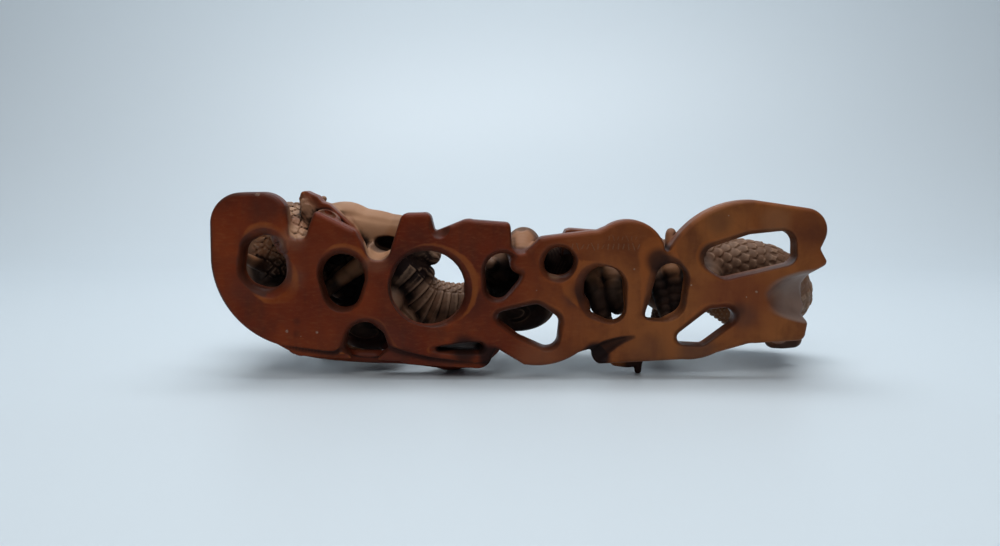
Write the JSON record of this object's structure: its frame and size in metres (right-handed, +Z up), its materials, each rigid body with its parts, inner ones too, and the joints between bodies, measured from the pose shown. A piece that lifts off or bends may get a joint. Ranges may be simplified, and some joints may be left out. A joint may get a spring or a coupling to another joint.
{
  "type": "boxwood dragon carving",
  "caption": "One-piece boxwood carving of a scaled dragon crawling over a flat, pierced root base, lying on its long edge.",
  "frame": {"origin": "centre of the bounding box in plan, at the ground it lies on", "axes": "+X along the length, -Y out of the flat pierced base face, +Z up as it lies on its long edge"},
  "size_m": [0.2706, 0.078, 0.0802],
  "materials": {
    "boxwood": "satin"
  },
  "bodies": {
    "root": {"dragon_carving": "boxwood"}
  },
  "joints": []
}
